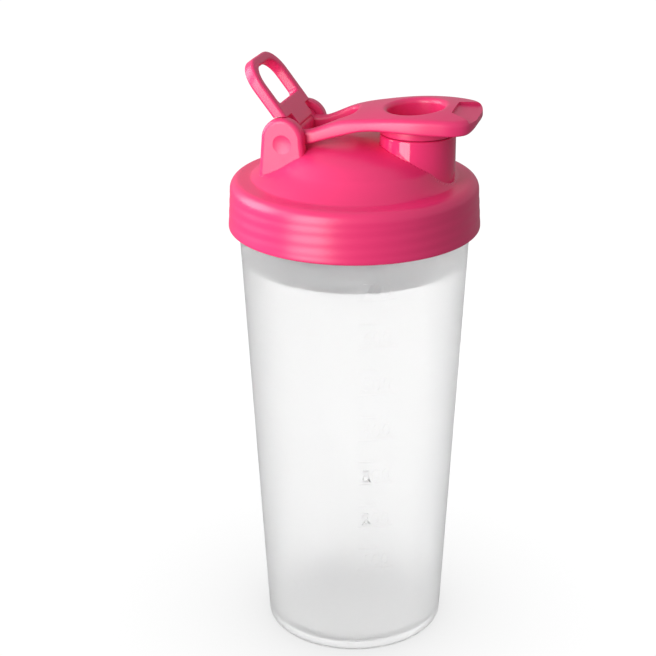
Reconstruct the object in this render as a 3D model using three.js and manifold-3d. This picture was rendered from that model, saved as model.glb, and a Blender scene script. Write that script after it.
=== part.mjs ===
// Protein shaker bottle: a frosted cup, a screw lid with a spout, a flip cap that plugs the spout, a
// carry loop on the same hinge pin, and the gasket and mixing strainer that sit under the lid.
// Millimetres, +Z up. The origin is the centre of the foot, and +X points to the spout.
import * as THREE from "three";
import { mergeVertices } from "three/addons/utils/BufferGeometryUtils.js";
import Module from "manifold-3d";

const wasm = await Module();
wasm.setup();

// Driving dimensions.
const GAP = 0.3; // clearance between pieces that touch
const SIDES = 48; // sides of a large turned surface
const SMALL_SIDES = 28; // sides of a knuckle, a barrel or a pin

const cup = {
  footRadius: 35.5,
  shoulderRadius: 44.1,
  shoulderZ: 168.2,
  neckRadius: 42.8,
  neckZ: 169.8,
  rimZ: 182.4,
  wall: 1.7,
  floorZ: 4.6,
  footHollow: 2.8,
  hollowRadius: 31,
  footInner: 32.2, // the foot ring touches the table from here out to footRadius less footEdge
  footEdge: 1.2,
  innerCorner: 1.5,
};
const thread = {
  lead: 8.4,
  starts: 2,
  startZ: 171.6,
  turns: 1,
  stepsPerTurn: 32,
  rootHalf: 1.25,
  crestHalf: 0.6,
  heightOnCup: 1.6,
  heightInLid: 1.8,
  buried: 0.6, // how far a ridge reaches into its wall
  fade: 0.35, // radians over which a ridge's ends run out
};
const collar = { radius: 48, lowZ: 168.6, inner: 45, topZ: 187.6, ceilingZ: 185.7 };
const rib = { inner: 37.9, outer: 39.3, lowZ: 184 }; // holds the gasket from inside
const dome = { wallAcross: 1, wallDown: 1.9, lean: 3, leanFromZ: 188.3, leanToZ: 195 };
const spout = { x: 24.3, radius: 14.2, bore: 12.4, topZ: 206.2 };
const hinge = { x: -23.2, z: 204.4 };
const ear = { innerY: 13.3, outerY: 17.8, radius: 8, footHalf: 9.4, footZ: 187.5 };
const pin = { radius: 2, fromY: -16.6, toY: 17.6, bore: 2.3 };
const cap = {
  knuckleRadius: 5.2,
  knuckleInner: 8.7,
  knuckleOuter: 13,
  armRoot: 10, // straight start of an arm's outer side, from the hinge
  slotRoot: 6, // straight start of the slot's side, from the hinge
  skirtTopZ: 211, // the skirt and the plug end inside the plate
  plugLowZ: 200.8,
  hollowLowZ: 202.4,
  plugWall: 1.4,
};
const loop = {
  lean: 127.5, // degrees from +X to the loop's length, at rest
  forward: 3.7, // how far the ring's middle lies in front of the hinge line
  barrelRadius: 5.2,
  barrelHalf: 8.4,
  length: 30.2,
  half: 15.2,
  rail: 3.7,
  thick: 4.6,
  holeFrom: 11,
};
const strainer = {
  wallRadius: 40.5,
  wall: 1.3,
  lowZ: 155,
  plate: 1.4,
  flangeRadius: 42.6,
  spigotHeight: 1.8,
  spigotWall: 1.2,
  pitch: 9.6,
  bar: 2.2,
  meshRadius: 36.5,
};

// Solids.

// A three.js geometry as a manifold solid. A mapping that mirrors it leaves the faces pointing in,
// and they are turned back here.
function toSolid(geometry) {
  const bare = geometry.clone();
  bare.deleteAttribute("normal");
  bare.deleteAttribute("uv");
  const merged = mergeVertices(bare, 1e-4);
  const corners = merged.index.array;
  const position = merged.getAttribute("position");
  const triangles = [];
  const [a, b, c] = [new THREE.Vector3(), new THREE.Vector3(), new THREE.Vector3()];
  let volume = 0;
  for (let i = 0; i < corners.length; i += 3) {
    const [p, q, r] = [corners[i], corners[i + 1], corners[i + 2]];
    if (p === q || q === r || r === p) continue;
    triangles.push([p, q, r]);
    a.fromBufferAttribute(position, p);
    b.fromBufferAttribute(position, q);
    c.fromBufferAttribute(position, r);
    volume += a.dot(b.cross(c));
  }
  if (volume < 0) triangles.forEach((corner) => corner.reverse());
  const triVerts = new Uint32Array(triangles.flat());
  return new wasm.Manifold(new wasm.Mesh({ numProp: 3, vertProperties: position.array, triVerts }));
}

const join = (...solids) => solids.reduce((whole, piece) => whole.add(piece));

// A solid turned about the Z axis from [radius, z] points.
function turned(points, sides = SIDES) {
  const profile = points.map(([radius, z]) => new THREE.Vector2(radius, z));
  return toSolid(new THREE.LatheGeometry(profile, sides).rotateX(Math.PI / 2));
}

// A plan outline drawn in X and Y, as thick as the span from lowZ to highZ.
function planSolid(shape, lowZ, highZ, curveSegments = 2) {
  const options = { depth: highZ - lowZ, bevelEnabled: false, curveSegments };
  return toSolid(new THREE.ExtrudeGeometry(shape, options).translate(0, 0, lowZ));
}

// A side outline drawn in X and Z, as wide as the span from lowY to highY.
function sideSolid(shape, lowY, highY, curveSegments = 2) {
  const options = { depth: highY - lowY, bevelEnabled: false, curveSegments };
  return toSolid(new THREE.ExtrudeGeometry(shape, options).rotateX(Math.PI / 2).translate(0, highY, 0));
}

function uprightCylinder(radius, lowZ, highZ, x, sides = SIDES) {
  const height = highZ - lowZ;
  const geometry = new THREE.CylinderGeometry(radius, radius, height, sides);
  return toSolid(geometry.rotateX(Math.PI / 2).translate(x, 0, lowZ + height / 2));
}

// A cylinder along the hinge line, or along Y through the origin when x and z are 0.
function hingeCylinder(radius, lowY, highY, x = hinge.x, z = hinge.z) {
  const width = highY - lowY;
  const geometry = new THREE.CylinderGeometry(radius, radius, width, SMALL_SIDES);
  return toSolid(geometry.translate(x, lowY + width / 2, z));
}

// Points of an arc in a turned profile, from one angle to another in degrees.
function arc(centreRadius, centreZ, radius, fromDegrees, toDegrees, steps) {
  return Array.from({ length: steps + 1 }, (_, i) => {
    const angle = THREE.MathUtils.degToRad(fromDegrees + ((toDegrees - fromDegrees) * i) / steps);
    return [centreRadius + radius * Math.cos(angle), centreZ + radius * Math.sin(angle)];
  });
}

// Leans a turned solid towards the spout: nothing moves below fromZ, and toZ and above move by the
// whole lean.
function leaned(solid, fromZ, toZ) {
  return solid.warp((point) => {
    point[0] += dome.lean * THREE.MathUtils.smoothstep(point[2], fromZ, toZ);
  });
}

// One helical ridge on a wall of the given radius: side is 1 outside the wall and -1 inside it.
// A straight bar of trapezoid section is wrapped round the axis, and its height fades at both ends.
function threadRidge(wallRadius, height, side, startAngle) {
  const { buried, fade } = thread;
  const section = new THREE.Shape([
    new THREE.Vector2(-buried, -thread.rootHalf),
    new THREE.Vector2(0, -thread.rootHalf),
    new THREE.Vector2(height, -thread.crestHalf),
    new THREE.Vector2(height, thread.crestHalf),
    new THREE.Vector2(0, thread.rootHalf),
    new THREE.Vector2(-buried, thread.rootHalf),
  ]);
  const sweep = thread.turns * 2 * Math.PI;
  const steps = Math.round(thread.turns * thread.stepsPerTurn);
  const ridge = new THREE.ExtrudeGeometry(section, { depth: sweep, steps, bevelEnabled: false });
  const position = ridge.getAttribute("position");
  for (let i = 0; i < position.count; i++) {
    const along = position.getZ(i);
    const out = position.getX(i);
    const kept = THREE.MathUtils.clamp(Math.min(along, sweep - along) / fade, 0.15, 1);
    const radius = wallRadius + side * (out > 0 ? out * kept : out);
    const angle = startAngle + along;
    const z = thread.startZ + position.getY(i) + (thread.lead * along) / (2 * Math.PI);
    position.setXYZ(i, radius * Math.cos(angle), radius * Math.sin(angle), z);
  }
  return toSolid(ridge);
}

// All the ridges of a wall, one for each start of the thread.
function threadRidges(wallRadius, height, side, firstAngle) {
  const apart = (2 * Math.PI) / thread.starts;
  const ridges = Array.from({ length: thread.starts }, (_, i) => {
    return threadRidge(wallRadius, height, side, firstAngle + i * apart);
  });
  return join(...ridges);
}

// Pieces.

// The cup: a tapered wall on a foot ring, a short shoulder, and a threaded neck.
function makeCup() {
  const flare = (cup.shoulderRadius - cup.footRadius) / cup.shoulderZ;
  const innerAt = (z) => cup.footRadius + flare * z - cup.wall;
  const neckInner = cup.neckRadius - cup.wall;
  const body = turned([
    [0, cup.footHollow],
    [cup.hollowRadius, cup.footHollow],
    [cup.footInner, 0],
    ...arc(cup.footRadius - cup.footEdge, cup.footEdge, cup.footEdge, -90, 0, 3),
    [cup.shoulderRadius, cup.shoulderZ],
    [cup.neckRadius, cup.neckZ],
    ...arc(cup.neckRadius - 0.6, cup.rimZ - 0.6, 0.6, 0, 90, 2),
    ...arc(neckInner + 0.5, cup.rimZ - 0.5, 0.5, 90, 180, 2),
    [neckInner, cup.neckZ],
    [innerAt(cup.shoulderZ - 2), cup.shoulderZ - 2],
    ...arc(innerAt(cup.floorZ) - cup.innerCorner, cup.floorZ + cup.innerCorner, cup.innerCorner, 0, -90, 3),
    [0, cup.floorZ],
  ]);
  return join(body, threadRidges(cup.neckRadius, thread.heightOnCup, 1, 0));
}

// The dome's outline from the crease to its top, as [radius, z] points.
function domeOutline() {
  const curve = new THREE.SplineCurve([
    new THREE.Vector2(39.2, 188),
    new THREE.Vector2(33.4, 192.5),
    new THREE.Vector2(30.1, 195.4),
    new THREE.Vector2(25.5, 198.7),
    new THREE.Vector2(18.4, 201.2),
    new THREE.Vector2(10, 202.4),
    new THREE.Vector2(0, 202.8),
  ]);
  return curve.getPoints(10).map((point) => [point.x, point.y]);
}

function makeEar() {
  const outline = new THREE.Shape();
  outline.moveTo(hinge.x - ear.footHalf, ear.footZ);
  outline.lineTo(hinge.x + ear.footHalf, ear.footZ);
  outline.absarc(hinge.x, hinge.z, ear.radius, 0, Math.PI, false);
  return sideSolid(outline, ear.innerY, ear.outerY, 8);
}

// The lid: collar, leaning dome, spout and the two hinge ears in one moulding, open below.
function makeLidShell() {
  const outline = domeOutline();
  const outside = turned([
    [0, collar.lowZ],
    [collar.radius - 0.4, collar.lowZ],
    [collar.radius, collar.lowZ + 0.6],
    [collar.radius - 0.7, 180.5],
    ...arc(collar.radius - 4.8, collar.topZ - 4, 4, 0, 90, 5),
    ...outline,
  ]);
  const inside = turned([
    [0, collar.lowZ - 1],
    [collar.inner + 0.7, collar.lowZ - 1],
    [collar.inner + 0.7, collar.lowZ],
    [collar.inner, collar.lowZ + 0.9],
    ...arc(collar.inner - 2.2, collar.ceilingZ - 2.2, 2.2, 0, 90, 3),
    [rib.outer + 0.1, collar.ceilingZ],
    [rib.outer, rib.lowZ],
    [rib.inner, rib.lowZ],
    [rib.inner, collar.ceilingZ + 0.5],
    ...outline.slice(1).map(([radius, z]) => [Math.max(radius - dome.wallAcross, 0), z - dome.wallDown]),
  ]);
  const dropped = dome.leanFromZ - dome.wallDown;
  const hollow = leaned(inside, dropped, dome.leanToZ - dome.wallDown);
  const nearEar = makeEar();
  const body = join(
    leaned(outside, dome.leanFromZ, dome.leanToZ),
    uprightCylinder(spout.radius, 187.9, spout.topZ, spout.x),
    nearEar,
    nearEar.mirror([0, 1, 0]),
  );
  const cutters = join(
    hollow,
    uprightCylinder(spout.bore, collar.ceilingZ + 2, spout.topZ + 1, spout.x),
    hingeCylinder(pin.bore, pin.fromY - GAP, ear.outerY + 1),
  );
  return join(body.subtract(cutters), threadRidges(collar.inner, thread.heightInLid, -1, Math.PI / 2));
}

// The soft ring that the rim of the strainer presses up against the lid.
function makeGasket() {
  const [inner, outer, low, high] = [rib.outer + GAP, 42.9, rib.lowZ, collar.ceilingZ - GAP];
  return turned([
    [inner + 0.3, low],
    [outer - 0.4, low],
    [outer, low + 0.4],
    [outer, high - 0.4],
    [outer - 0.4, high],
    [inner + 0.3, high],
    [inner, high - 0.3],
    [inner, low + 0.3],
    [inner + 0.3, low],
  ]);
}

// The strainer: a straight basket with a grid floor, a flange that lies on the cup's rim, and a
// spigot that snaps inside the lid's rib.
function makeStrainer() {
  const flangeLow = cup.rimZ + GAP;
  const flangeHigh = rib.lowZ - GAP;
  const innerRadius = strainer.wallRadius - strainer.wall;
  const spigot = rib.inner - GAP;
  const body = turned([
    [0, strainer.lowZ],
    [strainer.wallRadius - 1, strainer.lowZ],
    [strainer.wallRadius - 0.3, strainer.lowZ + 0.8],
    [strainer.wallRadius, flangeLow],
    [strainer.flangeRadius, flangeLow],
    [strainer.flangeRadius, flangeHigh],
    [spigot, flangeHigh],
    [spigot, flangeHigh + strainer.spigotHeight],
    [spigot - strainer.spigotWall, flangeHigh + strainer.spigotHeight],
    [spigot - strainer.spigotWall, flangeLow - 0.2],
    [innerRadius, flangeLow - 2.6],
    [innerRadius - 0.3, strainer.lowZ + strainer.plate],
    [0, strainer.lowZ + strainer.plate],
  ]);
  const side = strainer.pitch - strainer.bar;
  const reach = Math.floor(strainer.meshRadius / strainer.pitch);
  const holes = [];
  for (let column = -reach; column <= reach; column++) {
    for (let row = -reach; row <= reach; row++) {
      const [x, y] = [column * strainer.pitch, row * strainer.pitch];
      if (Math.hypot(Math.abs(x) + side / 2, Math.abs(y) + side / 2) > strainer.meshRadius) continue;
      const hole = new THREE.BoxGeometry(side, side, 4 * strainer.plate);
      holes.push(toSolid(hole.translate(x, y, strainer.lowZ)));
    }
  }
  return body.subtract(join(...holes));
}

// The flip cap's outline from above: two arms with an open slot between them, a round plate over the
// spout, and a blunt thumb tab. It is drawn as one half and its mirror image.
function capPlan() {
  const side = [
    [hinge.x + cap.armRoot, cap.knuckleOuter],
    [-2, 13.6],
    [10, 15.6],
    [24, 17.3],
    [34, 17.1],
    [41, 16],
    [45.6, 12.6],
    [47.4, 6],
  ];
  const slot = [
    [-14, 8.5],
    [-5, 7.6],
    [1, 5.4],
  ];
  const point = ([x, y]) => new THREE.Vector2(x, y);
  const mirrored = ([x, y]) => [x, -y];
  const outline = new THREE.Shape();
  outline.moveTo(hinge.x, -cap.knuckleOuter);
  outline.lineTo(hinge.x + cap.armRoot, -cap.knuckleOuter);
  outline.splineThru(side.slice(1).map(mirrored).map(point));
  outline.lineTo(...side.at(-1));
  outline.splineThru(side.slice(0, -1).reverse().map(point));
  outline.lineTo(hinge.x, cap.knuckleOuter);
  outline.lineTo(hinge.x, cap.knuckleInner);
  outline.lineTo(hinge.x + cap.slotRoot, cap.knuckleInner);
  outline.splineThru([...slot, [3.2, 0], ...slot.map(mirrored).reverse()].map(point));
  outline.lineTo(hinge.x + cap.slotRoot, -cap.knuckleInner);
  outline.lineTo(hinge.x, -cap.knuckleInner);
  outline.closePath();
  return outline;
}

// The flip cap from the side: arms that rise from the hinge over the dome to a plate on the spout.
function capSide() {
  const point = ([x, z]) => new THREE.Vector2(x, z);
  const under = [
    [-14, 202.4],
    [-7, 204.8],
    [-1, 206.8],
    [6, 209],
    [14, 209.9],
  ];
  const top = [
    [46, 214.7],
    [41, 216.1],
    [32, 216.7],
    [21, 216.3],
    [10, 215.2],
    [-2, 212.9],
    [-14, 208.2],
  ];
  const outline = new THREE.Shape();
  outline.moveTo(hinge.x, 201);
  outline.lineTo(-18, 201.4);
  outline.splineThru(under.map(point));
  outline.lineTo(42, 209.9);
  outline.lineTo(46, 210.4);
  outline.lineTo(47.5, 213.6);
  outline.splineThru(top.map(point));
  outline.lineTo(hinge.x, 207.6);
  outline.closePath();
  return outline;
}

// The shallow pad for the thumb: it starts with a step and runs out at the tip.
function makeThumbPad() {
  const plan = [
    [38.3, -7],
    [48, -13.4],
    [48, 13.4],
    [38.3, 7],
  ];
  const side = [
    [38, 215.5],
    [48, 212.6],
    [48, 219],
    [38, 219],
  ];
  const shape = (points) => new THREE.Shape(points.map(([a, b]) => new THREE.Vector2(a, b)));
  return planSolid(shape(plan), 205, 220).intersect(sideSolid(shape(side), -15, 15));
}

// The flip cap: plate and arms, knuckles on the pin, and a hollow plug that fills the spout's bore.
function makeFlipCap() {
  const plate = planSolid(capPlan(), 195, 220, 3).intersect(sideSolid(capSide(), -20, 20, 2));
  const plug = spout.bore - GAP;
  const stopZ = spout.topZ + GAP;
  const knuckle = hingeCylinder(cap.knuckleRadius, cap.knuckleInner, cap.knuckleOuter);
  const body = join(
    plate.subtract(makeThumbPad()),
    uprightCylinder(spout.radius, stopZ, cap.skirtTopZ, spout.x),
    uprightCylinder(plug, cap.plugLowZ, cap.skirtTopZ, spout.x),
    knuckle,
    knuckle.mirror([0, 1, 0]),
  );
  const cutters = join(
    uprightCylinder(plug - cap.plugWall, cap.hollowLowZ, 218, spout.x),
    hingeCylinder(pin.bore, -ear.innerY, ear.innerY),
  );
  return body.subtract(cutters);
}

// A rounded rectangle from x = low to high and y = -half to half, with its own corner radius at each end.
function roundedOutline(low, high, half, lowCorner, highCorner) {
  const outline = new THREE.Shape();
  const quarter = Math.PI / 2;
  outline.absarc(low + lowCorner, -half + lowCorner, lowCorner, -2 * quarter, -quarter, false);
  outline.absarc(high - highCorner, -half + highCorner, highCorner, -quarter, 0, false);
  outline.absarc(high - highCorner, half - highCorner, highCorner, 0, quarter, false);
  outline.absarc(low + lowCorner, half - lowCorner, lowCorner, quarter, 2 * quarter, false);
  outline.closePath();
  return outline;
}

// The carry loop, drawn flat with its barrel on the Y axis and its far end along +X. The ring lies in
// front of the barrel's centre, and its two rails end on a curve that clears the ears.
function makeCarryLoop() {
  const [rear, front] = [loop.forward - loop.thick / 2, loop.forward + loop.thick / 2];
  const ring = planSolid(roundedOutline(0, loop.length, loop.half, 1, 10), -front, -rear, 5);
  const inner = roundedOutline(loop.holeFrom, loop.length - loop.rail, loop.half - loop.rail, 2, 7);
  const barrel = hingeCylinder(loop.barrelRadius, -loop.barrelHalf, loop.barrelHalf, 0, 0);
  const earRoom = hingeCylinder(ear.radius + GAP, loop.barrelHalf, loop.half + 1, 0, 0);
  const bore = hingeCylinder(pin.bore, -loop.barrelHalf - 1, loop.barrelHalf + 1, 0, 0);
  const cutters = join(planSolid(inner, -loop.half, loop.half, 5), earRoom, earRoom.mirror([0, 1, 0]), bore);
  return join(ring, barrel).subtract(cutters);
}

function makePin() {
  return hingeCylinder(pin.radius, pin.fromY, pin.toY);
}

// The assembly.

const pink = { color: 0xef3f80, roughness: 0.42, metalness: 0 };
const frosted = { color: 0xf1f1f1, roughness: 0.5, metalness: 0, transparent: true, opacity: 0.55 };
const clear = { color: 0xeeeeee, roughness: 0.4, metalness: 0, transparent: true, opacity: 0.7 };
const silicone = { color: 0xf4f1ee, roughness: 0.7, metalness: 0 };

function named(name, solid, finish) {
  const mesh = solid.getMesh();
  const geometry = new THREE.BufferGeometry();
  geometry.setAttribute("position", new THREE.BufferAttribute(new Float32Array(mesh.vertProperties), 3));
  geometry.setIndex(new THREE.BufferAttribute(new Uint32Array(mesh.triVerts), 1));
  geometry.computeVertexNormals();
  const piece = new THREE.Mesh(geometry, new THREE.MeshStandardMaterial(finish));
  piece.name = name;
  return piece;
}

const carryLoop = named("carry_loop", makeCarryLoop(), pink);
carryLoop.position.set(hinge.x, 0, hinge.z);
carryLoop.rotation.y = THREE.MathUtils.degToRad(-loop.lean);

const lid = new THREE.Group();
lid.add(
  named("lid_shell", makeLidShell(), pink),
  named("lid_gasket", makeGasket(), silicone),
  named("hinge_pin", makePin(), pink),
  named("flip_cap", makeFlipCap(), pink),
  carryLoop,
);

const shaker = new THREE.Group();
shaker.add(named("bottle", makeCup(), frosted), named("mixing_strainer", makeStrainer(), clear), lid);

export default shaker;
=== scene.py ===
"""Protein shaker bottle: the detailed pieces, their plastics, and a plain white studio.

Work is done in millimetres, with Z up and the spout towards X, and every finished mesh is brought to metres.
"""

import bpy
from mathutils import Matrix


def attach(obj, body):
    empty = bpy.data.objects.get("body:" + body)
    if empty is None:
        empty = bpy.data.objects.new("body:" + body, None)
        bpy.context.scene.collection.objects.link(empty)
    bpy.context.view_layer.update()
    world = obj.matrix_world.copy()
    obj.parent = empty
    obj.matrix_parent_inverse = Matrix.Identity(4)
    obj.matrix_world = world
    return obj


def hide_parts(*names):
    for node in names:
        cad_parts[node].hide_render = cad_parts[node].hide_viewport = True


bl_info = {
    "name": "Protein Shaker Bottle",
    "version": (1, 0, 0),
    "blender": (4, 5, 0),
    "location": "View3D > Sidebar > Shaker",
    "description": "Builds a frosted shaker bottle with a screw lid, a flip cap and a carry loop",
    "category": "Add Mesh",
}

import math
from types import SimpleNamespace

import bmesh
import bpy
from bpy.props import FloatProperty, FloatVectorProperty, PointerProperty
from mathutils import Matrix, Vector

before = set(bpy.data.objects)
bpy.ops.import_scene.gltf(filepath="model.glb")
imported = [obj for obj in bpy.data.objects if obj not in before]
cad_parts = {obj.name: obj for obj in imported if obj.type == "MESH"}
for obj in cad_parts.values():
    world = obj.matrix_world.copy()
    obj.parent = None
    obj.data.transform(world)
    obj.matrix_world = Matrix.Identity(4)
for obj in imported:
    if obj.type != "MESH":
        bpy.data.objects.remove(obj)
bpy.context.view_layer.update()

MM = 0.001
SIDES = 192  # facets round the cup and the lid
SMALL_SIDES = 72  # facets round the spout, the plug, the knuckles and the pin
EDGE_STEPS = 5  # facets across a rounded edge
CREASE = 32  # degrees between two faces from which their edge is left sharp

# Outlines as (radius, z) or (x, y) or (x, z) points in millimetres.
DOME = [(39.2, 188), (33.4, 192.5), (30.1, 195.4), (25.5, 198.7), (18.4, 201.2), (10, 202.4), (0, 202.8)]
DOME_WALL = (1.0, 1.9)  # how far the dome's inside lies in from its outside, across and down
CAP_SIDE = [(-13.2, 13), (-2, 13.6), (10, 15.6), (24, 17.3), (34, 17.1), (41, 16), (45.6, 12.6), (47.4, 6)]
CAP_SLOT = [(-17.2, 8.7), (-12, 8.6), (-6, 8.2), (-2, 7), (0.2, 4.6), (0.8, 0)]
CAP_TOP = [(-23.2, 207.6), (-14, 208.2), (-2, 212.9), (10, 215.2), (21, 216.6), (32, 217.1), (41, 216.7),
           (46, 216.1), (47.6, 215.6)]
CAP_UNDER = [(-23.2, 201), (-18, 201.4), (-14, 202.4), (-7, 204.8), (-1, 206.8), (6, 209), (14, 209.9),
             (30, 209.9), (42, 209.9), (46, 210.4), (47.6, 212.4)]
PAD_PLAN = [(38.3, -7), (48.6, -13.8), (48.6, 13.8), (38.3, 7)]
PAD_FLOOR = [(38, 215.8), (48.6, 214)]

LIT = ("coloured pieces", "clear pieces")  # each is lit by lamps of its own

HINGE = (-23.2, 0, 204.4)
SPOUT_X = 24.3
EAR_FACE = 17.8  # how far the outer face of an ear lies from the middle
MARK_ROOT = 0.3  # how deep the scale's marks are rooted in the wall


def linear(code):
    """The linear colour of an sRGB hex code."""
    parts = [int(code[i:i + 2], 16) / 255 for i in (1, 3, 5)]
    return tuple(c / 12.92 if c <= 0.04045 else ((c + 0.055) / 1.055) ** 2.4 for c in parts)


def length(name, description, millimetres):
    return FloatProperty(
        name=name, description=description, default=millimetres * MM, min=0, precision=5, unit="LENGTH"
    )


def colour(name, description, code):
    return FloatVectorProperty(
        name=name, description=description, default=linear(code), min=0, max=1, size=3, subtype="COLOR"
    )


def power(name, description, watts):
    return FloatProperty(name=name, description=description, default=watts, min=0, unit="POWER")


def level(name, description, value):
    return FloatProperty(name=name, description=description, default=value, min=0)


class BottleSizes(bpy.types.PropertyGroup):
    foot_radius: length("Foot radius", "Outside radius of the foot", 35.5)
    shoulder_radius: length("Shoulder radius", "Outside radius at the top of the tapered wall", 44.1)
    neck_radius: length("Neck radius", "Outside radius of the neck, under the thread", 42.8)
    wall: length("Wall", "Thickness of the tapered wall", 1.7)
    scale_relief: length("Scale relief", "Height of the moulded scale above the wall", 0.22)
    numeral_height: length("Numeral height", "Height of the scale's numerals", 5.5)


class StrainerSizes(bpy.types.PropertyGroup):
    radius: length("Radius", "Outside radius of the basket", 40.5)
    pitch: length("Pitch", "Distance between the holes of the floor", 9.6)
    bar: length("Bar", "Width of a bar between two holes", 2.2)


class LidSizes(bpy.types.PropertyGroup):
    collar_radius: length("Collar radius", "Outside radius of the collar", 48)
    collar_edge: length("Collar edge", "Radius of the collar's rounded shoulder", 4)
    sink_depth: length("Sink depth", "Depth of the faint waves left over the thread", 0.09)
    lean: length("Lean", "How far the dome leans to the spout", 3)
    spout_radius: length("Spout radius", "Outside radius of the spout", 14.2)
    spout_bore: length("Spout bore", "Inside radius of the spout", 12.4)
    ear_edge: length("Ear edge", "Radius of the rounded rim of an ear's outer face", 1.7)
    dimple: length("Dimple", "Radius of the shallow dimple in an ear", 3.6)


class CapSizes(bpy.types.PropertyGroup):
    edge: length("Edge", "Radius of the rounded upper edge", 1.8)
    under_edge: length("Lower edge", "Radius of the rounded lower edge", 0.9)
    hollow: length("Hollow", "Radius of the hollow in the plug", 10.5)
    lip: length("Lip", "Radius of the rounded lip of the hollow", 2.1)
    crown: length("Crown", "How much lower the plate is at 10 mm from its middle line", 0.48)
    twist: length("Twist", "How much higher the plate's far side is at 10 mm from its middle line", 0.4)


class LoopSizes(bpy.types.PropertyGroup):
    edge: length("Edge", "Radius of the rounded edges of the ring", 1.1)
    rail: length("Rail", "Width of a rail of the ring", 3.7)


class Finishes(bpy.types.PropertyGroup):
    lid: colour("Lid", "Colour of the lid, the cap and the loop", "#ed3071")
    cup: colour("Cup", "Colour of the frosted cup", "#fbfbfb")
    strainer: colour("Strainer", "Colour of the strainer", "#f6f8f9")
    gasket: colour("Gasket", "Colour of the gasket", "#efece8")


class StudioSettings(bpy.types.PropertyGroup):
    key: power("Key", "Power of the soft box at the left", 2.7)
    side: power("Side", "Power of the far left light", 7.5)
    fill: power("Fill", "Power of a light on the cup's flank", 7)
    boost: level("Boost", "Brightness of the backdrop behind the cup", 2)
    surround: level("Surround", "Strength of the light all round", 0.46)
    floor: colour("Floor", "Colour of the floor", "#ffffff")
    floor_shade: level("Floor shade", "How bright the floor is in full shade", 0.6)


GROUPS = {
    "shaker_bottle": BottleSizes,
    "shaker_strainer": StrainerSizes,
    "shaker_lid": LidSizes,
    "shaker_cap": CapSizes,
    "shaker_loop": LoopSizes,
    "shaker_finishes": Finishes,
    "shaker_studio": StudioSettings,
}


def in_mm(group):
    """A property group's lengths in millimetres, by name."""
    return SimpleNamespace(**{key: getattr(group, key) / MM for key in type(group).__annotations__})


# Lines.


def arc(centre, radius, start, stop, steps):
    """Points of an arc from one angle to another, in degrees."""
    angles = [math.radians(start + (stop - start) * i / steps) for i in range(steps + 1)]
    return [(centre[0] + radius * math.cos(a), centre[1] + radius * math.sin(a)) for a in angles]


def curve_through(points, steps):
    """A smooth line through points, with the same number of steps between each two."""
    padded = [points[0], *points, points[-1]]
    line = []
    for stretch in zip(padded, padded[1:], padded[2:], padded[3:]):
        for i in range(steps):
            t = i / steps
            line.append(tuple(
                0.5 * (2 * b + (c - a) * t + (2 * a - 5 * b + 4 * c - d) * t ** 2
                       + (3 * b - a - 3 * c + d) * t ** 3)
                for a, b, c, d in zip(*stretch)
            ))
    return [*line, points[-1]]


def straight(start, stop, steps):
    """Points from start up to, but without, stop."""
    return [tuple(a + (b - a) * i / steps for a, b in zip(start, stop)) for i in range(steps)]


def height_at(line, x):
    """The second coordinate of a line where its first is x."""
    for (x0, z0), (x1, z1) in zip(line, line[1:]):
        if x <= x1:
            return z0 + (z1 - z0) * min(max((x - x0) / (x1 - x0), 0), 1)
    return line[-1][1]


def smoothstep(value, low, high):
    t = min(max((value - low) / (high - low), 0), 1)
    return t * t * (3 - 2 * t)


def rounded_rectangle(low, high, half, low_corner, high_corner, steps=12):
    return [
        *arc((low + low_corner, -half + low_corner), low_corner, 180, 270, steps),
        *arc((high - high_corner, -half + high_corner), high_corner, 270, 360, steps),
        *arc((high - high_corner, half - high_corner), high_corner, 0, 90, steps),
        *arc((low + low_corner, half - low_corner), low_corner, 90, 180, steps),
    ]


# Solids, as bmeshes in millimetres.


def turned(profile, steps=SIDES, closed=False):
    """A solid turned about Z. An open profile starts and ends on the axis."""
    bm = bmesh.new()
    verts = [bm.verts.new((radius, 0, z)) for radius, z in profile]
    ends = verts[1:] + verts[:1] if closed else verts[1:]
    edges = [bm.edges.new(pair) for pair in zip(verts, ends)]
    bmesh.ops.spin(
        bm, geom=verts + edges, cent=(0, 0, 0), axis=(0, 0, 1), angle=2 * math.pi, steps=steps, use_merge=True
    )
    bmesh.ops.remove_doubles(bm, verts=bm.verts, dist=1e-4)
    bmesh.ops.recalc_face_normals(bm, faces=bm.faces)
    return bm


def moved(bm, vec):
    bmesh.ops.translate(bm, verts=bm.verts, vec=vec)
    return bm


def along_hinge(bm, centre=HINGE):
    """Turns a solid's Z axis to the hinge line and moves it to the hinge."""
    turn = Matrix.Rotation(math.radians(-90), 3, "X")
    bmesh.ops.rotate(bm, verts=bm.verts, cent=(0, 0, 0), matrix=turn)
    return moved(bm, centre)


def rod(radius, low, high, edge=0.0, steps=SMALL_SIDES):
    """A cylinder about Z with rounded ends."""
    flat = radius - edge
    profile = [(0, low), (flat, low), (radius, low), (radius, high), (flat, high), (0, high)]
    if edge:
        profile[2:3] = arc((flat, low + edge), edge, -90, 0, EDGE_STEPS)[1:]
        profile[-3:-2] = arc((flat, high - edge), edge, 0, 90, EDGE_STEPS)[:-1]
    else:
        del profile[1], profile[-2]
    return turned(profile, steps)


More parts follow.
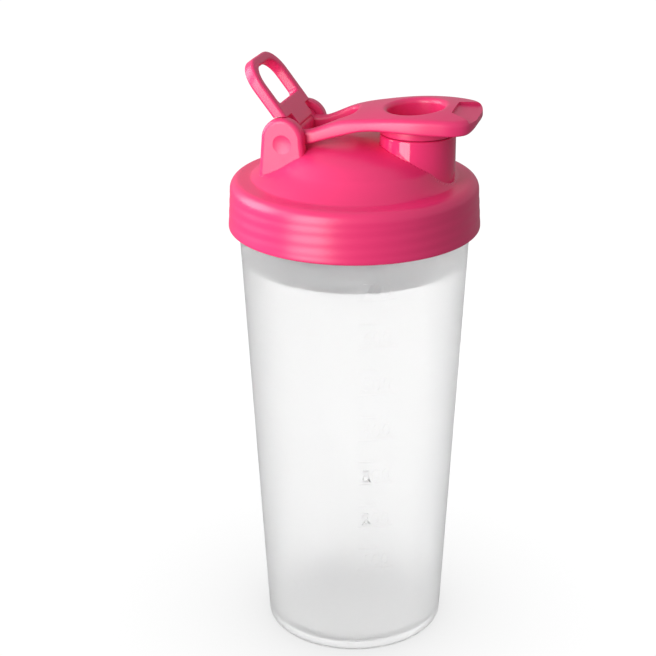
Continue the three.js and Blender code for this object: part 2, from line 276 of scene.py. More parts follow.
def slab(outline, low, high, low_edge, high_edge, hole=None):
    """A plate drawn in plan between two heights, with a rounded edge of its own radius on each side."""
    bm = bmesh.new()
    edges = []
    for line in (outline, hole):
        if line:
            verts = [bm.verts.new((x, y, low + low_edge)) for x, y in line]
            edges += [bm.edges.new(pair) for pair in zip(verts, verts[1:] + verts[:1])]
    bottom = bmesh.ops.bridge_loops(bm, edges=edges)["faces"] if hole else [bm.faces.new(verts)]
    quarter = arc((0, 0), 1, 0, 90, EDGE_STEPS)
    made = bmesh.ops.extrude_face_region(bm, geom=bottom)["geom"]
    top = [item for item in made if isinstance(item, bmesh.types.BMFace)]
    rise = high - high_edge - low - low_edge
    bmesh.ops.translate(bm, verts=list({v for f in top for v in f.verts}), vec=(0, 0, rise))
    bmesh.ops.recalc_face_normals(bm, faces=bm.faces)
    for faces, radius in ((top, high_edge), (bottom, -low_edge)):
        if not radius:
            continue
        for (x0, z0), (x1, z1) in zip(quarter, quarter[1:]):
            bmesh.ops.inset_region(
                bm, faces=faces, thickness=abs(radius) * (x0 - x1), use_boundary=True, use_even_offset=True
            )
            verts = list({v for f in faces for v in f.verts})
            bmesh.ops.translate(bm, verts=verts, vec=(0, 0, radius * (z1 - z0)))
    return bm


def cut_across(bm, heights, stations, normal):
    """Cuts the flat faces at the given heights by a plane at each station, so that they can bend."""
    for station in stations:
        faces = [f for f in bm.faces if any(all(abs(v.co.z - z) < 1e-4 for v in f.verts) for z in heights)]
        edges = {edge for face in faces for edge in face.edges}
        geom = [*faces, *edges, *{vert for edge in edges for vert in edge.verts}]
        bmesh.ops.bisect_plane(
            bm, geom=geom, dist=1e-4, plane_co=[station * n for n in normal], plane_no=normal
        )


def prism(outline, low, high):
    """A plain prism drawn in plan."""
    return slab(outline, low, high, 0, 0)


def thread_ridge(wall_radius, height, side, start):
    """One helical ridge of the thread, outside (side 1) or inside (side -1) a wall, from a start angle."""
    lead, start_z, sweep, steps, fade, buried = 8.4, 171.6, 2 * math.pi, 64, 0.35, 0.6
    section = [(-buried, -1.25), (0, -1.25), (height, -0.6), (height, 0.6), (0, 1.25), (-buried, 1.25)]
    bm = bmesh.new()
    face = bm.faces.new([bm.verts.new((0, out, z)) for out, z in section])
    for step in range(steps):
        made = bmesh.ops.extrude_face_region(bm, geom=[face])["geom"]
        if step:
            bmesh.ops.delete(bm, geom=[face], context="FACES_ONLY")
        face = next(item for item in made if isinstance(item, bmesh.types.BMFace))
        bmesh.ops.translate(bm, verts=face.verts, vec=(sweep / steps, 0, 0))
    for vert in bm.verts:
        along, out, z = vert.co
        kept = min(max(min(along, sweep - along) / fade, 0.15), 1)
        radius = wall_radius + side * (out * kept if out > 0 else out)
        angle = start + along
        rise = lead * along / (2 * math.pi)
        vert.co = (radius * math.cos(angle), radius * math.sin(angle), start_z + z + rise)
    bmesh.ops.recalc_face_normals(bm, faces=bm.faces)
    return bm


def held(bm):
    """A bmesh as an object that the boolean steps can use."""
    mesh = bpy.data.meshes.new("held")
    bm.to_mesh(mesh)
    bm.free()
    holder = bpy.data.objects.new("held", mesh)
    bpy.context.scene.collection.objects.link(holder)
    return holder


def combined(base, add=(), cut=()):
    """base with the add solids joined to it, and then the cut solids taken out of it."""
    body = held(base)
    tools = []
    for solids, operation in ((add, "UNION"), (cut, "DIFFERENCE")):
        for solid in solids:
            tools.append(held(solid))
            step = body.modifiers.new(operation, "BOOLEAN")
            step.operation, step.object, step.solver = operation, tools[-1], "MANIFOLD"
    result = bmesh.new()
    result.from_object(body, bpy.context.evaluated_depsgraph_get())
    for used in (body, *tools):
        mesh = used.data
        bpy.data.objects.remove(used)
        bpy.data.meshes.remove(mesh)
    if not result.faces:
        raise RuntimeError("a boolean step left nothing")
    bmesh.ops.remove_doubles(result, verts=result.verts, dist=1e-4)
    return result


def lit_pieces(name):
    """The collection of the pieces that a lamp lights, made the first time it is asked for."""
    return bpy.data.collections.get(name) or bpy.data.collections.new(name)


def finished(bm, name, body, node, material):
    """Makes the piece that stands for a CAD node: metres, smooth faces, its body and plastic."""
    bmesh.ops.scale(bm, vec=(MM, MM, MM), verts=bm.verts)
    mesh = bpy.data.meshes.new(name)
    bm.to_mesh(mesh)
    bm.free()
    mesh.shade_smooth()
    mesh.set_sharp_from_angle(angle=math.radians(CREASE))
    piece = bpy.data.objects.new(name, mesh)
    bpy.context.scene.collection.objects.link(piece)
    mesh.materials.append(material)
    lit_pieces(LIT[body in ("bottle", "strainer")]).objects.link(piece)
    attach(piece, body)
    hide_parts(node)
    return piece


# Materials.


def per_metre(millimetres):
    """The texture scale that gives a pattern features of this size on Object coordinates."""
    return 1 / (millimetres * MM)


def add_node(tree, kind, inputs, **settings):
    """Adds a node, with its settings, and its inputs given as values or as the sockets that feed them."""
    made = tree.nodes.new(kind)
    for name, value in settings.items():
        setattr(made, name, value)
    for name, value in inputs.items():
        if isinstance(value, bpy.types.NodeSocket):
            tree.links.new(value, made.inputs[name])
        else:
            made.inputs[name].default_value = value
    return made


def new_material(name):
    material = bpy.data.materials.new(name)
    material.use_nodes = True
    material.node_tree.nodes.clear()
    return material, material.node_tree


def close_material(tree, shader):
    add_node(tree, "ShaderNodeOutputMaterial", {"Surface": shader.outputs["BSDF"]})


def mottled(tree, base, size, detail, darker, lighter=1.0):
    """Object coordinates, a noise with features of a size in millimetres, and the colour that it varies."""
    place = add_node(tree, "ShaderNodeTexCoord", {}).outputs["Object"]
    noise = add_node(
        tree, "ShaderNodeTexNoise", {"Vector": place, "Scale": per_metre(size), "Detail": detail}
    ).outputs["Fac"]
    dark, light = ((*[min(part * share, 1) for part in base], 1) for share in (darker, lighter))
    tint = add_node(tree, "ShaderNodeMix", {"Factor": noise, 6: dark, 7: light}, data_type="RGBA").outputs[2]
    return place, noise, tint


def relief(tree, height, strength, depth):
    """A bump from a noise, with its depth in millimetres."""
    return add_node(
        tree, "ShaderNodeBump", {"Height": height, "Strength": strength, "Distance": depth * MM}
    ).outputs["Normal"]


def moulded_polypropylene(base, name, dull, peel_depth):
    """Injection-moulded polypropylene: the mould leaves a satin gloss, with flow marks and a fine orange
    peel that breaks up the edge of a highlight."""
    material, tree = new_material(name)
    place, flow, tint = mottled(tree, base, 22, 3, 0.97, 1.03)
    peel = add_node(tree, "ShaderNodeTexNoise", {"Vector": place, "Scale": per_metre(1.4), "Detail": 2})
    gloss = add_node(tree, "ShaderNodeMapRange", {
        "Value": flow, "From Min": 0.3, "From Max": 0.7, "To Min": dull - 0.03, "To Max": dull + 0.03,
    })
    shader = add_node(tree, "ShaderNodeBsdfPrincipled", {
        "Base Color": tint,
        "Roughness": gloss.outputs["Result"],
        "IOR": 1.49,
        "Specular IOR Level": 0.75,
        "Normal": relief(tree, peel.outputs["Fac"], 1, peel_depth),
    })
    close_material(tree, shader)
    return material


def frosted_polypropylene(base):
    """Natural polypropylene, frosted by a blasted mould: milky, it lets light through and blurs what stands
    behind it, with a fine even grain on its face."""
    material, tree = new_material("frosted natural polypropylene")
    place, _, tint = mottled(tree, base, 30, 2, 0.985)
    grain = add_node(tree, "ShaderNodeTexNoise", {"Vector": place, "Scale": per_metre(0.5), "Detail": 2})
    shader = add_node(tree, "ShaderNodeBsdfPrincipled", {
        "Base Color": tint,
        "Roughness": 0.33,
        "IOR": 1.49,
        "Transmission Weight": 0.75,
        "Normal": relief(tree, grain.outputs["Fac"], 0.2, 0.02),
    })
    close_material(tree, shader)
    return material


def plain_polypropylene(base):
    """Natural polypropylene from a polished mould: clear enough to glow, with soft flow marks."""
    material, tree = new_material("natural moulded polypropylene")
    _, flow, tint = mottled(tree, base, 9, 3, 0.94)
    shader = add_node(tree, "ShaderNodeBsdfPrincipled", {
        "Base Color": tint,
        "Roughness": 0.3,
        "IOR": 1.49,
        "Transmission Weight": 0.85,
        "Normal": relief(tree, flow, 0.15, 0.05),
    })
    close_material(tree, shader)
    return material


def silicone_rubber(base):
    """Compression-moulded silicone: matt and slightly dusty, soft in its shadows."""
    material, tree = new_material("natural silicone rubber")
    _, dust, tint = mottled(tree, base, 2.5, 4, 0.93)
    shader = add_node(tree, "ShaderNodeBsdfPrincipled", {
        "Base Color": tint,
        "Roughness": 0.7,
        "IOR": 1.41,
        "Subsurface Weight": 0.3,
        "Subsurface Radius": (1, 0.9, 0.8),
        "Subsurface Scale": 0.002,
        "Normal": relief(tree, dust, 0.3, 0.03),
    })
    close_material(tree, shader)
    return material


def satin_polypropylene(base):
    """The lid's outside comes from a finely blasted mould."""
    return moulded_polypropylene(base, "satin polypropylene", 0.34, 0.006)


def polished_polypropylene(base):
    """The spout comes from a polished part of the mould, and mirrors a light with crisp edges."""
    return moulded_polypropylene(base, "polished polypropylene", 0.1, 0.0005)


MAKERS = {
    "lid": satin_polypropylene,
    "spout": polished_polypropylene,
    "cup": frosted_polypropylene,
    "strainer": plain_polypropylene,
    "gasket": silicone_rubber,
}


MADE = {}


def finish(key):
    """The material of a finish, made the first time it is asked for. The spout has the lid's colour."""
    if key not in MADE:
        colours = bpy.context.scene.shaker_finishes
        MADE[key] = MAKERS[key](tuple(colours.lid if key == "spout" else getattr(colours, key)))
    return MADE[key]


# Pieces.


def wrapped(bm, z, wall_radius, facing):
    """Lays a mark, drawn flat with its relief in Z, on the cup's wall at a height and a bearing."""
    slope, off_edge = 0.0511, 0.01
    reach = math.ceil(max(abs(vert.co.x) for vert in bm.verts))
    for i in range(-reach, reach + 1):
        geom = bm.verts[:] + bm.edges[:] + bm.faces[:]
        bmesh.ops.bisect_plane(bm, geom=geom, dist=1e-4, plane_co=(i + off_edge, 0, 0), plane_no=(1, 0, 0))
    for vert in bm.verts:
        across, up, out = vert.co
        radius = wall_radius + slope * up + out
        angle = facing + across / wall_radius
        vert.co = (radius * math.cos(angle), radius * math.sin(angle), z + up)
    bmesh.ops.recalc_face_normals(bm, faces=bm.faces)
    return bm


def tick(width, height, rise):
    """A moulded line of the scale, flat, from X = 0 to its width."""
    bm = bmesh.new()
    bmesh.ops.create_cube(bm, size=1)
    bmesh.ops.scale(bm, vec=(width, height, rise + MARK_ROOT), verts=bm.verts)
    bmesh.ops.translate(bm, verts=bm.verts, vec=(width / 2, 0, (rise - MARK_ROOT) / 2))
    return bm


def numeral(text, height, rise):
    """Moulded figures, flat, centred on X = 0 and standing on Y = 0."""
    size_for_height = 1.4
    curve = bpy.data.curves.new("numeral", "FONT")
    curve.body, curve.size, curve.extrude = text, height * size_for_height, (rise + MARK_ROOT) / 2
    curve.align_x, curve.resolution_u = "CENTER", 3
    holder = bpy.data.objects.new("numeral", curve)
    bpy.context.scene.collection.objects.link(holder)
    mesh = bpy.data.meshes.new_from_object(holder.evaluated_get(bpy.context.evaluated_depsgraph_get()))
    bm = bmesh.new()
    bm.from_mesh(mesh)
    bpy.data.objects.remove(holder)
    bpy.data.curves.remove(curve)
    bpy.data.meshes.remove(mesh)
    bmesh.ops.remove_doubles(bm, verts=bm.verts, dist=1e-3)
    bmesh.ops.triangulate(bm, faces=bm.faces)
    bmesh.ops.translate(bm, verts=bm.verts, vec=(0, 0, (rise - MARK_ROOT) / 2))
    return bm


def make_cup(sizes):
    """The cup: a tapered wall on a foot ring, a threaded neck, and a scale moulded in the wall."""
    shoulder_z, neck_z, rim_z, floor_z = 168.2, 169.8, 182.4, 4.6
    flare = (sizes.shoulder_radius - sizes.foot_radius) / shoulder_z

    def outer_at(z):
        return sizes.foot_radius + flare * z

    neck_inner = sizes.neck_radius - sizes.wall
    inner_foot = outer_at(floor_z) - sizes.wall
    profile = [
        # The sunk base, the foot ring, and the outside up to the shoulder and the neck.
        (0, 2.8), (30.4, 2.8), (31.1, 2.5), (32, 0.5), (32.5, 0),
        *arc((sizes.foot_radius - 1.2, 1.2), 1.2, -90, 0, 6),
        *straight((outer_at(3), 3), (sizes.shoulder_radius, shoulder_z), 40),
        (sizes.shoulder_radius, shoulder_z),
        (sizes.neck_radius, neck_z),
        *arc((sizes.neck_radius - 0.6, rim_z - 0.6), 0.6, 0, 90, 4),
        # Down the inside to the floor.
        *arc((neck_inner + 0.5, rim_z - 0.5), 0.5, 90, 180, 4),
        (neck_inner, neck_z),
        *straight((outer_at(shoulder_z - 2) - sizes.wall, shoulder_z - 2), (inner_foot, floor_z + 2.5), 30),
        *arc((inner_foot - 2.2, floor_z + 2.2), 2.2, 0, -90, 6),
        (0, floor_z),
    ]
    marks = []
    facing = math.radians(17 - 90)
    millilitres, spacing, tenth_z = 50, 9.6, 115
    long_tick, short_tick, stroke, lift = 14, 8, 0.7, 1.4
    for step in range(2, 15):
        z = tenth_z + (step - 10) * spacing
        numbered = step % 2 == 0
        line = tick(long_tick if numbered else short_tick, stroke, sizes.scale_relief)
        marks.append(wrapped(line, z, outer_at(z), facing))
        if numbered:
            figures = numeral(str(step * millilitres), sizes.numeral_height, sizes.scale_relief)
            marks.append(wrapped(moved(figures, (long_tick / 2, lift, 0)), z, outer_at(z), facing))
    ridges = [thread_ridge(sizes.neck_radius, 1.6, 1, start) for start in (0, math.pi)]
    return combined(turned(profile), add=[*ridges, *marks])


def make_strainer(sizes):
    """The strainer: a basket with a grid floor, a flange for the cup's rim, and a spigot for the lid."""
    low, plate, inner, last_hole = 155, 1.4, sizes.radius - 1.3, 36.5
    profile = [
        (0, low), (sizes.radius - 1, low),
        *arc((sizes.radius - 1.2, low + 0.9), 0.9, -90, 0, 4),
        # The flange on the cup's rim, the spigot, and the inside of the basket.
        (sizes.radius, 182.7), (42.3, 182.7), (42.6, 182.9), (42.6, 183.5), (42.4, 183.7),
        (37.6, 183.7), (37.6, 185.2), (37.3, 185.5), (36.7, 185.5), (36.4, 185.2), (36.4, 182.5),
        (inner, 180.1), (inner - 0.3, low + plate + 1),
        *arc((inner - 1.3, low + plate + 1), 1, 0, -90, 4),
        (0, low + plate),
    ]
    side = sizes.pitch - sizes.bar
    holes = []
    for column in range(-3, 4):
        for row in range(-3, 4):
            x, y = column * sizes.pitch, row * sizes.pitch
            if math.hypot(abs(x) + side / 2, abs(y) + side / 2) <= last_hole:
                corners = rounded_rectangle(x - side / 2, x + side / 2, side / 2, 1, 1, 3)
                holes.append(prism([(px, py + y) for px, py in corners], low - 1, low + plate + 1))
    return combined(turned(profile), cut=holes)


def leaned(bm, lean, start, stop):
    """Leans a solid to the spout: all of the lean is reached at the height stop."""
    for vert in bm.verts:
        vert.co.x += lean * smoothstep(vert.co.z, start, stop)
    return bm


def make_ear(sizes):
    """A hinge ear of the lid, on the near side, with a rounded rim and a shallow dimple on its face."""
    foot_z, foot_half, radius = 187.5, 9.4, 8
    x, _, z = HINGE
    flank = straight((x + foot_half, foot_z), (x + radius, z), 10)
    outline = [*flank, *arc((x, z), radius, 0, 180, 40), *[(2 * x - px, pz) for px, pz in reversed(flank)]]
    ear = slab(outline, 13.3, EAR_FACE, 0.6, sizes.ear_edge)
    depth = 0.4
    ball = (sizes.dimple ** 2 + depth ** 2) / (2 * depth)
    dimple = bmesh.new()
    bmesh.ops.create_uvsphere(dimple, u_segments=96, v_segments=64, radius=ball)
    ear = combined(ear, cut=[moved(dimple, (x + 0.2, z - 1.6, EAR_FACE + ball - depth))])
    bmesh.ops.triangulate(ear, faces=ear.faces)
    bmesh.ops.rotate(ear, verts=ear.verts, cent=(0, 0, 0), matrix=Matrix.Rotation(math.radians(90), 3, "X"))
    return ear


def make_lid(sizes):
    """The lid: collar, leaning dome, spout and hinge ears in one moulding, threaded inside."""
    low, shoulder_z, top = 168.6, 183.6, 187.6
    pitch, skirt_radius = 4.2, 46  # of the thread behind the waves, and inside which there are none
    outside = turned([
        (0, low), (sizes.collar_radius - 0.7, low),
        *arc((sizes.collar_radius - 0.6, low + 0.6), 0.6, -90, 0, 4),
        *straight((sizes.collar_radius, low + 1.2), (sizes.collar_radius - 0.8, shoulder_z), 36),
        *arc((sizes.collar_radius - 0.8 - sizes.collar_edge, shoulder_z), sizes.collar_edge, 0, 90, 12),
        *straight((42.4, top + 0.07), (40, top + 0.25), 3),
        (39.6, top + 0.3),
        *curve_through(DOME, 8),
    ])
    for vert in outside.verts:
        x, y, z = vert.co
        if math.hypot(x, y) > skirt_radius and z > low + 1:
            held_back = smoothstep(z, low + 1, low + 3.5) * (1 - smoothstep(z, 181.5, 183.6))
            phase = 2 * math.pi * z / pitch - 2 * math.atan2(y, x)
            scale = 1 - sizes.sink_depth * held_back * (0.5 + 0.5 * math.cos(phase)) / math.hypot(x, y)
            vert.co = (x * scale, y * scale, z)
    across, down = DOME_WALL
    inside = turned([
        # The threaded bore, the seat of the gasket, the groove of the strainer's spigot, and the dome.
        (0, low - 1), (45.7, low - 1), (45.7, low), (45, low + 0.9),
        *arc((42.8, 183.5), 2.2, 0, 90, 6),
        (39.4, 185.7), (39.3, 184.2), (39.1, 184), (38.1, 184), (37.9, 184.2), (37.9, 186.2),
        *[(max(r - across, 0), z - down) for r, z in curve_through(DOME, 4)[4:]],
    ])
    leaned(outside, sizes.lean, 188.3, 195)
    leaned(inside, sizes.lean, 188.3 - down, 195 - down)
    spout = turned([
        (0, 187.9), (sizes.spout_radius, 187.9), (sizes.spout_radius, 198),
        *arc((sizes.spout_radius - 0.6, 205.6), 0.6, 0, 90, 5),
        (0, 206.2),
    ], SMALL_SIDES * 2)
    bore = turned([
        (0, 187.7), (sizes.spout_bore, 187.7), (sizes.spout_bore, 205.7),
        *arc((sizes.spout_bore + 0.5, 205.7), 0.5, 180, 90, 4),
        (sizes.spout_bore + 0.5, 207), (0, 207),
    ], SMALL_SIDES * 2)
    near = make_ear(sizes)
    far = near.copy()
    bmesh.ops.scale(far, vec=(1, -1, 1), verts=far.verts)
    bmesh.ops.reverse_faces(far, faces=far.faces)
    shell = combined(
        outside,
        add=[moved(spout, (SPOUT_X, 0, 0)), near, far],
        cut=[inside, moved(bore, (SPOUT_X, 0, 0)), along_hinge(rod(2.3, -16.9, 19))],
    )
    return combined(shell, add=[thread_ridge(45, 1.8, -1, start) for start in (math.pi / 2, 1.5 * math.pi)])


def make_gasket():
    """The soft ring that the strainer's flange presses up against the lid."""
    corners = [
        *arc((40, 184.4), 0.4, 180, 270, 3), *arc((42.5, 184.4), 0.4, 270, 360, 3),
        *arc((42.5, 185), 0.4, 0, 90, 3), *arc((40, 185), 0.4, 90, 180, 3),
    ]
    return turned(corners, closed=True)


def make_pin():
    """The rod that the cap and the loop turn on, with rounded ends."""
    return along_hinge(rod(2, -16.6, 17.6, 0.5))


def cap_outline():
    """The cap from above: two arms with an open slot between them, a round plate, and a blunt tip."""
    side = curve_through(CAP_SIDE, 7)
    slot = curve_through([*CAP_SLOT, *[(x, -y) for x, y in reversed(CAP_SLOT[:-1])]], 7)
    x = HINGE[0]
    return [
        (x, -13), *[(px, -py) for px, py in side],
        *straight((47.4, -6), (47.4, 6), 6)[1:],
        *reversed(side), (x, 13), (x, 8.7), *slot, (x, -8.7),
    ]


def make_cap(sizes):
    """The flip cap: crowned plate and arms, thumb pad, knuckles, and a hollow plug with a rounded lip."""
    span = 30.0
    plate = slab(cap_outline(), 0, span, sizes.under_edge, sizes.edge)
    cut_across(plate, (0, span), [x * 1.5 for x in range(-15, 32)], (1, 0, 0))
    cut_across(plate, (0, span), [y * 2 for y in range(-8, 9)], (0, 1, 0))
    top = curve_through(CAP_TOP, 10)
    under = curve_through(CAP_UNDER, 10)

    def twist_at(x, y):
        return sizes.twist * y / 10 * smoothstep(x, -15, 8)

    def top_at(x, y):
        return height_at(top, x) - sizes.crown * (y / 10) ** 2 + twist_at(x, y)

    for vert in plate.verts:
        x, y, z = vert.co
        high, low = top_at(x, y), height_at(under, x) + twist_at(x, y) / 2
        room = min((high - low) / (2 * sizes.edge + 0.2), 1)
        vert.co.z = high - (span - z) * room if z > span / 2 else low + z * room
    plug, plug_low, skirt, skirt_low, skirt_top = 12.1, 200.8, 14.2, 206.5, 211.5
    body = turned([
        (0, plug_low), *arc((plug - 0.6, plug_low + 0.6), 0.6, -90, 0, 4), (plug, skirt_low),
        (skirt - 0.5, skirt_low), *arc((skirt - 0.5, skirt_low + 0.5), 0.5, -90, 0, 4),
        (skirt, skirt_top), (0, skirt_top),
    ], SMALL_SIDES * 2)
    lip, hollow, floor_z = sizes.lip, sizes.hollow, 202.4
    # The lip is turned round a level that is far above, and then laid on the crowned plate.
    level_z, hollow_x = 300, SPOUT_X - 0.8
    bore = turned([
        (0, floor_z), *arc((hollow - 0.8, floor_z + 0.8), 0.8, -90, 0, 4),
        *arc((hollow + lip, level_z - lip), lip, 180, 90, 8),
        (hollow + lip, level_z + 6), (0, level_z + 6),
    ], SMALL_SIDES * 2)
    moved(bore, (hollow_x, 0, 0))
    for vert in bore.verts:
        if vert.co.z > level_z - 10:
            vert.co.z += top_at(vert.co.x, vert.co.y) - level_z
    pad, clear_z = prism(PAD_PLAN, 0, 1), 222
    for vert in pad.verts:
        x, y, z = vert.co
        vert.co.z = height_at(PAD_FLOOR, x) + twist_at(x, y) if z < 0.5 else clear_z
    knuckles = [along_hinge(rod(5.2, low, low + 4.3, 0.5)) for low in (-13, 8.7)]
    return combined(
        plate,
        add=[moved(body, (SPOUT_X, 0, 0)), *knuckles],
        cut=[bore, pad, along_hinge(rod(2.3, -14, 14))],
    )


def make_loop(sizes):
    """The carry loop: a flat ring in front of a barrel on the hinge pin, leaning back."""
    far, half, rear, front = 30.2, 15.2, 1.4, 6.0
    hole = rounded_rectangle(11, far - sizes.rail, half - sizes.rail, 2, 7)
    ring = slab(rounded_rectangle(0, far, half, 1.5, 10), -front, -rear, sizes.edge, sizes.edge, hole)
    barrel = along_hinge(rod(5.2, -8.4, 8.4, 0.5), (0, 0, 0))
    clear = [along_hinge(rod(8.3, low, low + 8), (0, 0, 0)) for low in (-16.4, 8.4)]
    bore = along_hinge(rod(2.3, -9, 9), (0, 0, 0))
    loop = combined(ring, add=[barrel], cut=[*clear, bore])
    turn = Matrix.Rotation(math.radians(-127.5), 3, "Y")
    bmesh.ops.rotate(loop, verts=loop.verts, cent=(0, 0, 0), matrix=turn)
    return moved(loop, HINGE)


# Studio.


def soft_box(name, azimuth, elevation, distance, width, height, power, aim=(0, 0, 0.12)):
    """A rectangular soft light that looks at aim; azimuth 0 is on the -Y side, and left is below 0."""
    light = bpy.data.lights.new(name, "AREA")
    light.shape, light.size, light.size_y, light.energy = "RECTANGLE", width, height, power
    lamp = bpy.data.objects.new(name, light)
    a, e = math.radians(azimuth), math.radians(elevation)
    away = Vector((math.sin(a) * math.cos(e), -math.cos(a) * math.cos(e), math.sin(e)))
    lamp.location = Vector(aim) + away * distance
    lamp.rotation_euler = away.to_track_quat("Z", "Y").to_euler()
    lamp.visible_camera = False
    bpy.context.scene.collection.objects.link(lamp)
    return lamp


def backdrop_level(tree, shown, bounced, boost):
    """How bright the backdrop is: shown to the eye, boosted where it is seen through the cup, and bounced for
    the light that falls on everything else."""
    path = add_node(tree, "ShaderNodeLightPath", {})
    eye = add_node(tree, "ShaderNodeMapRange", {
        "Value": path.outputs["Is Camera Ray"], "To Min": bounced, "To Max": shown,
    })
    through = add_node(tree, "ShaderNodeMapRange", {
        "Value": path.outputs["Is Transmission Ray"], "To Min": eye.outputs["Result"], "To Max": boost,
    })
    return through.outputs["Result"]


def make_surround(strength, boost):
    """A white backdrop to look at, also through the cup, and a softer light all round."""
    world = bpy.data.worlds.new("studio")
    world.use_nodes = True
    tree = world.node_tree
    tree.nodes.clear()
    sky = add_node(
        tree, "ShaderNodeBackground",
        {"Color": (1, 1, 1, 1), "Strength": backdrop_level(tree, 1.0, strength, boost)},
    )
    add_node(tree, "ShaderNodeOutputWorld", {"Surface": sky.outputs["Background"]})
    bpy.context.scene.world = world


def make_floor(base, shade, strength, boost):
    """A wide, plain, matt white floor, glowing as bright as the backdrop, with a painted shadow that makes it
    greyer close to the cup.
    """
    half_width, reach, open_level = 6, 0.15, 1.05
    bm = bmesh.new()
    bmesh.ops.create_grid(bm, x_segments=1, y_segments=1, size=half_width)
    mesh = bpy.data.meshes.new("floor")
    bm.to_mesh(mesh)
    bm.free()
    floor = bpy.data.objects.new("floor", mesh)
    bpy.context.scene.collection.objects.link(floor)
    material, tree = new_material("matt white board")
    place = add_node(tree, "ShaderNodeTexCoord", {}).outputs["Object"]
    tooth = add_node(tree, "ShaderNodeTexNoise", {"Vector": place, "Scale": per_metre(2)})
    # Painted shadow: ambient occlusion dims the floor's glow close to the cup, down to the shade level.
    painted_shadow = add_node(tree, "ShaderNodeAmbientOcclusion", {
        "Distance": reach, "Normal": relief(tree, tooth.outputs["Fac"], 0.05, 0.1),
    })
    openness = add_node(tree, "ShaderNodeMapRange", {
        "Value": painted_shadow.outputs["AO"], "To Min": shade, "To Max": open_level,
    })
    brightness = add_node(tree, "ShaderNodeMath", {
        0: openness.outputs["Result"], 1: backdrop_level(tree, 1.0, strength / 2, boost),
    }, operation="MULTIPLY")
    lit = add_node(tree, "ShaderNodeEmission", {"Color": (*base, 1), "Strength": brightness.outputs[0]})
    add_node(tree, "ShaderNodeOutputMaterial", {"Surface": lit.outputs[0]})
    mesh.materials.append(material)


def make_camera():
    camera = bpy.data.cameras.new("camera")
    camera.lens, camera.sensor_width, camera.shift_x = 88.24, 36, -0.0403
    camera.clip_start = 0.01
    holder = bpy.data.objects.new("camera", camera)
    holder.location = (0.1514, -0.5651, 0.364)
    holder.rotation_euler = (math.radians(67.81), 0, math.radians(15))
    bpy.context.scene.collection.objects.link(holder)
    bpy.context.scene.camera = holder


# Operators, one for each piece and one for the stage.


class SHAKER_OT_bottle(bpy.types.Operator):
    """Build the frosted cup"""

    bl_idname = "shaker.bottle"
    bl_label = "Bottle"

    def execute(self, context):
        cup = make_cup(in_mm(context.scene.shaker_bottle))
        finished(cup, "bottle_cup", "bottle", "bottle", finish("cup"))
        return {"FINISHED"}


class SHAKER_OT_strainer(bpy.types.Operator):
    """Build the mixing strainer"""

    bl_idname = "shaker.strainer"
    bl_label = "Strainer"

    def execute(self, context):
        basket = make_strainer(in_mm(context.scene.shaker_strainer))
        clear = finish("strainer")
        finished(basket, "strainer_basket", "strainer", "mixing_strainer", clear)
        return {"FINISHED"}


class SHAKER_OT_lid(bpy.types.Operator):
    """Build the screw lid"""

    bl_idname = "shaker.lid"
    bl_label = "Lid"

    def execute(self, context):
        sizes = in_mm(context.scene.shaker_lid)
        lid = make_lid(sizes)
        for face in lid.faces:
            middle = face.calc_center_median()
            from_axis = math.hypot(middle.x - SPOUT_X, middle.y)
            face.material_index = int(abs(from_axis - sizes.spout_radius) < 0.3 and middle.z > 188.5)
        piece = finished(lid, "screw_lid", "lid", "lid_shell", finish("lid"))
        piece.data.materials.append(finish("spout"))
        for face in piece.data.polygons:
            # The flat of an ear stays flat up to its dimple.
            if abs(abs(face.center.y) - EAR_FACE * MM) < 1e-6:
                face.use_smooth = False
        return {"FINISHED"}


class SHAKER_OT_gasket(bpy.types.Operator):
    """Build the gasket under the lid"""

    bl_idname = "shaker.gasket"
    bl_label = "Gasket"

    def execute(self, context):
        finished(make_gasket(), "gasket_ring", "lid", "lid_gasket", finish("gasket"))
        return {"FINISHED"}


class SHAKER_OT_pin(bpy.types.Operator):
    """Build the hinge pin"""

    bl_idname = "shaker.pin"
    bl_label = "Hinge pin"

    def execute(self, context):
        finished(make_pin(), "pin_rod", "lid", "hinge_pin", finish("lid"))
        return {"FINISHED"}


class SHAKER_OT_cap(bpy.types.Operator):
    """Build the flip cap"""

    bl_idname = "shaker.cap"
    bl_label = "Flip cap"

    def execute(self, context):
        cap = make_cap(in_mm(context.scene.shaker_cap))
        finished(cap, "spout_cap", "cap", "flip_cap", finish("lid"))
        return {"FINISHED"}


class SHAKER_OT_loop(bpy.types.Operator):
    """Build the carry loop"""

    bl_idname = "shaker.loop"
    bl_label = "Carry loop"

    def execute(self, context):
        loop = make_loop(in_mm(context.scene.shaker_loop))
        finished(loop, "finger_loop", "loop", "carry_loop", finish("lid"))
        return {"FINISHED"}


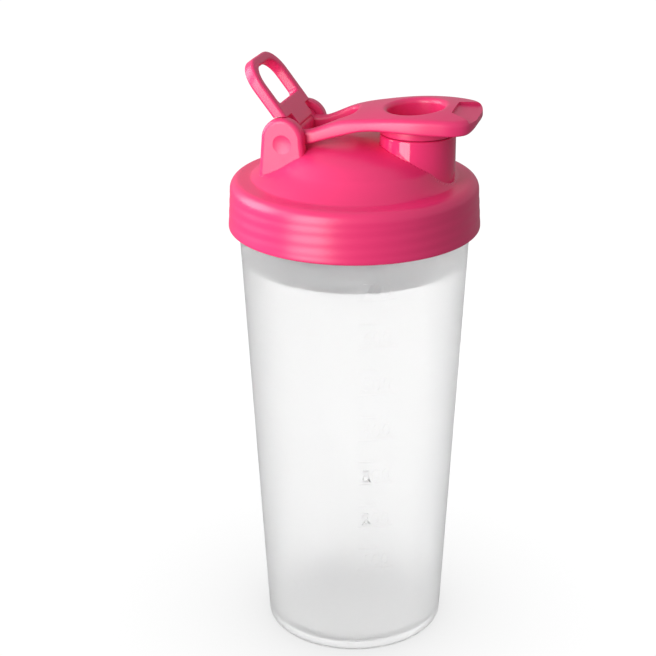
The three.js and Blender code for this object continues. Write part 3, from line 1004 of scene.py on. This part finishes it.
class SHAKER_OT_stage(bpy.types.Operator):
    """Set up the floor, the lights, the surround and the camera"""

    bl_idname = "shaker.stage"
    bl_label = "Stage"

    def execute(self, context):
        studio = context.scene.shaker_studio
        make_floor(tuple(studio.floor), studio.floor_shade, studio.surround, studio.boost)
        make_surround(studio.surround, studio.boost)
        coloured, clear = (lit_pieces(name) for name in LIT)
        for pieces, lamp in (
            (coloured, soft_box("key", -24, 0, 0.5, 0.3, 0.6, studio.key, (0, 0, 0.32))),
            (coloured, soft_box("side", -85, 20, 1, 0.7, 0.8, studio.side)),
            (clear, soft_box("left flank", -70, 8, 1, 1, 1, studio.fill)),
            (clear, soft_box("right flank", 95, 8, 1, 1, 1, studio.fill)),
        ):
            lamp.light_linking.receiver_collection = pieces
        make_camera()
        context.scene.view_settings.view_transform = "Standard"
        return {"FINISHED"}


STEPS = [
    SHAKER_OT_stage, SHAKER_OT_bottle, SHAKER_OT_strainer, SHAKER_OT_lid, SHAKER_OT_gasket, SHAKER_OT_pin,
    SHAKER_OT_cap, SHAKER_OT_loop,
]


class SHAKER_PT_panel(bpy.types.Panel):
    bl_label = "Protein Shaker Bottle"
    bl_idname = "SHAKER_PT_panel"
    bl_space_type = "VIEW_3D"
    bl_region_type = "UI"
    bl_category = "Shaker"

    def draw(self, context):
        for step in STEPS:
            self.layout.operator(step.bl_idname)
        for name, group in GROUPS.items():
            box = self.layout.box()
            for key in group.__annotations__:
                box.prop(getattr(context.scene, name), key)


def register():
    for name, group in GROUPS.items():
        bpy.utils.register_class(group)
        setattr(bpy.types.Scene, name, PointerProperty(type=group))
    for item in (*STEPS, SHAKER_PT_panel):
        bpy.utils.register_class(item)


def unregister():
    for item in (SHAKER_PT_panel, *reversed(STEPS)):
        bpy.utils.unregister_class(item)
    for name, group in reversed(GROUPS.items()):
        delattr(bpy.types.Scene, name)
        bpy.utils.unregister_class(group)


def main():
    register()
    for step in STEPS:
        getattr(bpy.ops.shaker, step.bl_idname.split(".")[1])()


if __name__ == "__main__":
    main()
